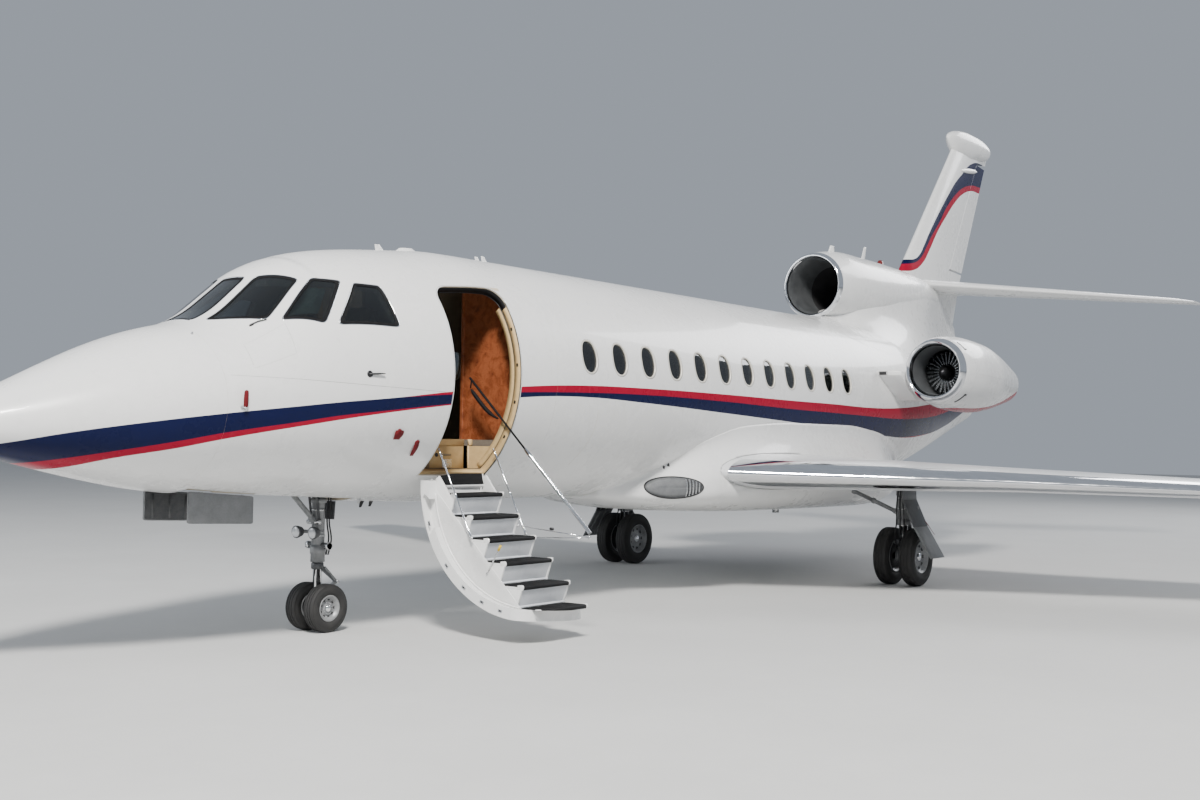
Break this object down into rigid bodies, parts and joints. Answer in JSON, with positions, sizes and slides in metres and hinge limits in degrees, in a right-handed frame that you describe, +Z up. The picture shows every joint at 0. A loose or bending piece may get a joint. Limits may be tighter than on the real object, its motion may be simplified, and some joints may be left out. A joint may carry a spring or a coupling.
{
  "type": "three-engine business jet",
  "caption": "Business jet parked on its gear: airstair door open, swept wing, side nacelles, centre intake ahead of the fin, cruciform tail.",
  "frame": {"origin": "on the ground, under the middle of the overall length and on the centre line", "axes": "+X forward to the nose, +Y to the left wing, +Z up"},
  "size_m": [20.21, 19.33, 7.545],
  "materials": {
    "white_paint": "gloss",
    "wing_skin": "satin",
    "tail_skin": "satin",
    "white_composite": "gloss",
    "dark_glass": "gloss",
    "carpet": "matte",
    "cabin_trim": "satin",
    "burl_wood": "gloss",
    "black_plastic": "matte",
    "seat_leather": "satin",
    "tyre_rubber": "matte",
    "polished_metal": "polished",
    "engine_metal": "satin",
    "gear_paint": "satin"
  },
  "bodies": {
    "airframe": {"radome": "white_composite", "forward_fuselage": "white_paint", "cabin_fuselage": "white_paint", "rear_fuselage": "white_paint", "centre_intake_duct": "white_composite", "belly_fairing": "white_composite", "cabin_floor": "carpet", "cockpit_bulkhead": "cabin_trim", "entry_partition": "burl_wood", "instrument_panel": "black_plastic", "cockpit_seats": "seat_leather", "windshield_centre": "dark_glass", "windshield_left": "dark_glass", "windshield_right": "dark_glass", "side_window_left": "dark_glass", "side_window_right": "dark_glass", "rear_side_window_left": "dark_glass", "rear_side_window_right": "dark_glass", "cabin_windows_left": "dark_glass", "cabin_windows_right": "dark_glass", "wing": "wing_skin", "slat_left": "polished_metal", "slat_right": "polished_metal", "flap_left": "wing_skin", "flap_right": "wing_skin", "fin": "tail_skin", "tailplane": "tail_skin", "nacelle_left": "white_composite", "nacelle_right": "white_composite", "engine_left": "engine_metal", "engine_right": "engine_metal", "engine_centre": "engine_metal", "nose_gear_leg": "gear_paint", "main_gear_leg_left": "gear_paint", "main_gear_leg_right": "gear_paint"},
    "passenger_door": {"passenger_door": "white_paint", "air_stair": "white_paint"},
    "door_stays": {"door_stay_front": "polished_metal", "door_stay_rear": "polished_metal"},
    "handrail": {"handrail_tube": "polished_metal"},
    "handrail_rod": {"handrail_rod": "polished_metal"},
    "aileron_left": {"aileron_left": "wing_skin"},
    "aileron_right": {"aileron_right": "wing_skin"},
    "rudder": {"rudder": "tail_skin"},
    "elevator_left": {"elevator_left": "tail_skin"},
    "elevator_right": {"elevator_right": "tail_skin"},
    "fan_left": {"fan_left": "engine_metal"},
    "fan_right": {"fan_right": "engine_metal"},
    "nose_fork": {"nose_gear_fork": "gear_paint"},
    "nose_wheels": {"nose_wheel_hubs": "gear_paint", "nose_tyre_left": "tyre_rubber", "nose_tyre_right": "tyre_rubber"},
    "nose_door_left": {"nose_gear_door_left": "white_paint"},
    "nose_door_right": {"nose_gear_door_right": "white_paint"},
    "main_wheels_left": {"main_wheel_hubs_left": "gear_paint", "main_tyre_outer_left": "tyre_rubber", "main_tyre_inner_left": "tyre_rubber"},
    "main_wheels_right": {"main_wheel_hubs_right": "gear_paint", "main_tyre_outer_right": "tyre_rubber", "main_tyre_inner_right": "tyre_rubber"}
  },
  "joints": [
    {"name": "door_hinge", "type": "hinge", "parent": "airframe", "child": "passenger_door", "pos_m": [5.405, 0.781, 1.432], "axis": [1, 0, 0], "range_deg": [0, 129]},
    {"name": "door_stays_pivot", "type": "hinge", "parent": "airframe", "child": "door_stays", "pos_m": [5.405, 0.975, 1.7], "axis": [1, 0, 0], "range_deg": [0, 169.7]},
    {"name": "handrail_fold", "type": "hinge", "parent": "passenger_door", "child": "handrail", "pos_m": [4.993, 2.13, 0.95], "axis": [1, 0, 0], "range_deg": [0, 20.1]},
    {"name": "handrail_slide", "type": "slide", "parent": "handrail", "child": "handrail_rod", "axis": [0, 0.7236, -0.6902], "range_m": [0, 0.951]},
    {"name": "aileron_left_hinge", "type": "hinge", "parent": "airframe", "child": "aileron_left", "pos_m": [-2.79459, 6.42, 1.3314], "axis": [-0.234, 0.972, -0.0215], "range_deg": [-25, 25]},
    {"name": "aileron_right_hinge", "type": "hinge", "parent": "airframe", "child": "aileron_right", "pos_m": [-2.79459, -6.42, 1.3314], "axis": [0.234, 0.972, 0.0215], "range_deg": [-25, 25]},
    {"name": "rudder_hinge", "type": "hinge", "parent": "airframe", "child": "rudder", "pos_m": [-8.10264, 0, 4.96], "axis": [-0.5313, 0, 0.8472], "range_deg": [-29, 29]},
    {"name": "elevator_left_hinge", "type": "hinge", "parent": "airframe", "child": "elevator_left", "pos_m": [-8.30137, 0.33, 4.54407], "axis": [-0.4035, 0.9128, -0.0626], "range_deg": [-16, 20]},
    {"name": "elevator_right_hinge", "type": "hinge", "parent": "airframe", "child": "elevator_right", "pos_m": [-8.30137, -0.33, 4.54407], "axis": [0.4035, 0.9128, 0.0626], "range_deg": [-16, 20]},
    {"name": "fan_left_spin", "type": "hinge", "parent": "airframe", "child": "fan_left", "pos_m": [-3.835, 1.95, 2.84448], "axis": [1, 0, 0], "continuous": true},
    {"name": "fan_right_spin", "type": "hinge", "parent": "airframe", "child": "fan_right", "pos_m": [-3.835, -1.95, 2.84448], "axis": [1, 0, 0], "continuous": true},
    {"name": "nose_steering", "type": "hinge", "parent": "airframe", "child": "nose_fork", "pos_m": [6.364, 0, 0.6], "axis": [0, 0, 1], "range_deg": [-60, 60]},
    {"name": "nose_wheel_spin", "type": "hinge", "parent": "nose_fork", "child": "nose_wheels", "pos_m": [6.364, 0, 0.2225], "axis": [0, 1, 0], "continuous": true},
    {"name": "nose_door_left_hinge", "type": "hinge", "parent": "airframe", "child": "nose_door_left", "pos_m": [8.025, 0.303, 1.333], "axis": [0.9967, 0, 0.0815], "range_deg": [-88, 0]},
    {"name": "nose_door_right_hinge", "type": "hinge", "parent": "airframe", "child": "nose_door_right", "pos_m": [8.025, -0.303, 1.333], "axis": [0.9967, 0, 0.0815], "range_deg": [0, 88]},
    {"name": "main_wheels_left_spin", "type": "hinge", "parent": "airframe", "child": "main_wheels_left", "pos_m": [-1.536, 2.225, 0.3685], "axis": [0, 1, 0], "continuous": true},
    {"name": "main_wheels_right_spin", "type": "hinge", "parent": "airframe", "child": "main_wheels_right", "pos_m": [-1.536, -2.225, 0.3685], "axis": [0, 1, 0], "continuous": true}
  ],
  "couplings": [
    {"joint": "door_stays_pivot", "follows": "door_hinge", "ratio": 1.3147},
    {"joint": "handrail_fold", "follows": "door_hinge", "ratio": 0.155},
    {"joint": "handrail_slide", "follows": "door_hinge", "m_per_rad": 0.422},
    {"joint": "aileron_right_hinge", "follows": "aileron_left_hinge", "ratio": -1},
    {"joint": "elevator_right_hinge", "follows": "elevator_left_hinge", "ratio": 1},
    {"joint": "nose_door_right_hinge", "follows": "nose_door_left_hinge", "ratio": -1}
  ]
}
